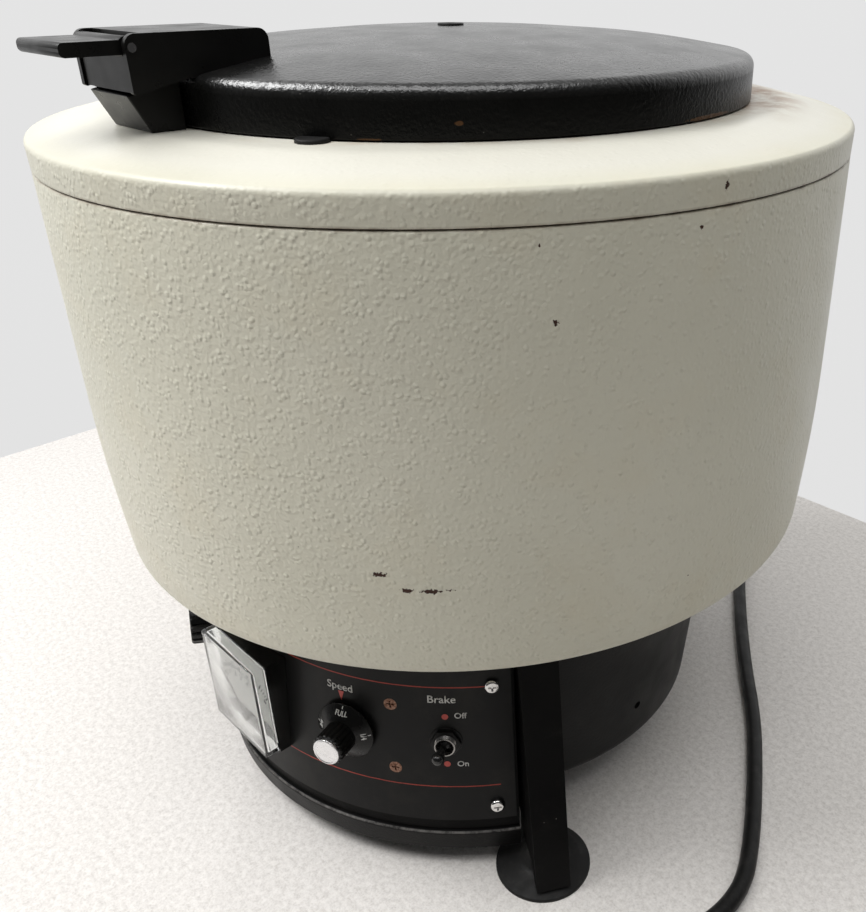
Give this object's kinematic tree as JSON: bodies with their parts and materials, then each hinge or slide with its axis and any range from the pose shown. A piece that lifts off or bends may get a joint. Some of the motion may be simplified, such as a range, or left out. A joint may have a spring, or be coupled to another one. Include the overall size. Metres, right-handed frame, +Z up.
{
  "type": "laboratory centrifuge",
  "caption": "Bench-top centrifuge: round enamelled bowl on splayed legs, latched lid, curved control panel, swing-out tube rotor and a long coiled power cord.",
  "frame": {"origin": "on the table under the rotor spindle, level with the undersides of the feet", "axes": "+Z up along the spindle, -Y to the front with the meter and the latch, +X to the right"},
  "size_m": [0.5301, 0.4118, 0.3695],
  "materials": {
    "cream_enamel": "orange-peel baked enamel, semi-gloss",
    "black_enamel": "baked black enamel, semi-gloss",
    "panel_black": "satin black with red and white print",
    "black_moulding": "smooth satin black moulding",
    "knob_black": "glossy black",
    "meter_black": "glossy black",
    "clear_window": "clear moulded window",
    "dial_white": "matt white with black scale",
    "needle_black": "matt black",
    "chrome_trim": "polished chrome, lightly pitted",
    "steel": "plain turned steel",
    "rusted_screw": "plated steel gone rusty",
    "spun_aluminium": "spun aluminium",
    "cast_aluminium": "machined casting",
    "winding": "laminated iron and copper",
    "brass": "machined brass",
    "black_rubber": "matt black rubber",
    "cord_rubber": "dull black cord sheath"
  },
  "bodies": {
    "base": {"base_can": "black_enamel", "base_rail": "black_enamel", "bowl_shell": "cream_enamel", "bowl_top_ring": "cream_enamel", "brake_switch": "chrome_trim", "brush_holders": "knob_black", "chamber_liner": "steel", "chassis_screws": "rusted_screw", "control_panel": "panel_black", "cord_coil": "cord_rubber", "cord_gland": "black_rubber", "cord_tube": "cord_rubber", "feet": "black_rubber", "guard_ring": "steel", "hinge_bracket": "black_enamel", "hinge_pin": "steel", "latch_keeper": "black_moulding", "leg_bolts": "steel", "leg_left": "black_enamel", "leg_rear": "black_enamel", "leg_right": "black_enamel", "lid_bumpers": "black_rubber", "meter_case": "meter_black", "meter_cover": "clear_window", "meter_dial": "dial_white", "motor_bearings": "steel", "motor_bottom_bell": "cast_aluminium", "motor_case": "steel", "motor_mounts": "black_rubber", "motor_top_bell": "cast_aluminium", "panel_frame": "black_enamel", "panel_screws": "chrome_trim", "plug_body": "cord_rubber", "plug_pins": "brass", "ring_screws": "steel", "seam_gasket": "black_rubber", "speed_control": "steel", "spindle_boot": "black_rubber", "timer_unit": "steel"},
    "lid": {"lid_shell": "black_enamel", "lid_port_plug": "black_rubber", "latch_housing": "black_moulding", "latch_pin": "chrome_trim", "lid_hinge_arm": "black_enamel", "lid_screws": "steel"},
    "latch_lever": {"latch_lever": "black_moulding"},
    "rotor": {"motor_shaft": "steel", "armature": "winding", "rotor_head": "cast_aluminium", "rotor_nut": "brass"},
    "shield_1": {"tube_shield_1": "spun_aluminium"},
    "shield_2": {"tube_shield_2": "spun_aluminium"},
    "shield_3": {"tube_shield_3": "spun_aluminium"},
    "shield_4": {"tube_shield_4": "spun_aluminium"},
    "speed_knob": {"speed_knob": "knob_black", "speed_knob_cap": "spun_aluminium"},
    "timer_knob": {"timer_knob": "knob_black"},
    "brake_lever": {"brake_lever": "knob_black"},
    "needle": {"meter_needle": "needle_black"}
  },
  "joints": [
    {"name": "lid_hinge", "type": "hinge", "parent": "base", "child": "lid", "pos_m": [0, 0.146, 0.3448], "axis": [-1, 0, 0], "range_deg": [0, 100]},
    {"name": "latch_press", "type": "hinge", "parent": "lid", "child": "latch_lever", "pos_m": [-0.0035, -0.1518, 0.3653], "axis": [1, 0, 0], "range_deg": [0, 11], "stiffness_Nm_per_rad": 0.05, "springref_deg": -17.19},
    {"name": "rotor_spin", "type": "hinge", "parent": "base", "child": "rotor", "pos_m": [0, 0, 0.25], "axis": [0, 0, 1], "continuous": true},
    {"name": "shield_swing_1", "type": "hinge", "parent": "rotor", "child": "shield_1", "pos_m": [0.062, 0, 0.257], "axis": [0, -1, 0], "range_deg": [0, 90]},
    {"name": "shield_swing_2", "type": "hinge", "parent": "rotor", "child": "shield_2", "pos_m": [0, 0.062, 0.257], "axis": [1, 0, 0], "range_deg": [0, 90]},
    {"name": "shield_swing_3", "type": "hinge", "parent": "rotor", "child": "shield_3", "pos_m": [-0.062, 0, 0.257], "axis": [0, 1, 0], "range_deg": [0, 90]},
    {"name": "shield_swing_4", "type": "hinge", "parent": "rotor", "child": "shield_4", "pos_m": [0, -0.062, 0.257], "axis": [-1, 0, 0], "range_deg": [0, 90]},
    {"name": "speed_turn", "type": "hinge", "parent": "base", "child": "speed_knob", "pos_m": [0.05802, -0.12971, 0.0784], "axis": [0.4068, -0.9094, 0.0863], "range_deg": [0, 300]},
    {"name": "timer_turn", "type": "hinge", "parent": "base", "child": "timer_knob", "pos_m": [-0.05936, -0.12905, 0.079], "axis": [-0.4163, -0.9051, 0.0863], "range_deg": [-330, 0]},
    {"name": "brake_toggle", "type": "hinge", "parent": "base", "child": "brake_lever", "pos_m": [0.09811, -0.10484, 0.07863], "axis": [-0.7302, -0.6833, 0], "range_deg": [0, 22]},
    {"name": "needle_swing", "type": "hinge", "parent": "base", "child": "needle", "pos_m": [0, -0.1505, 0.062], "axis": [0, 1, 0], "range_deg": [0, 84], "stiffness_Nm_per_rad": 0.00002, "springref_deg": -11.46}
  ]
}
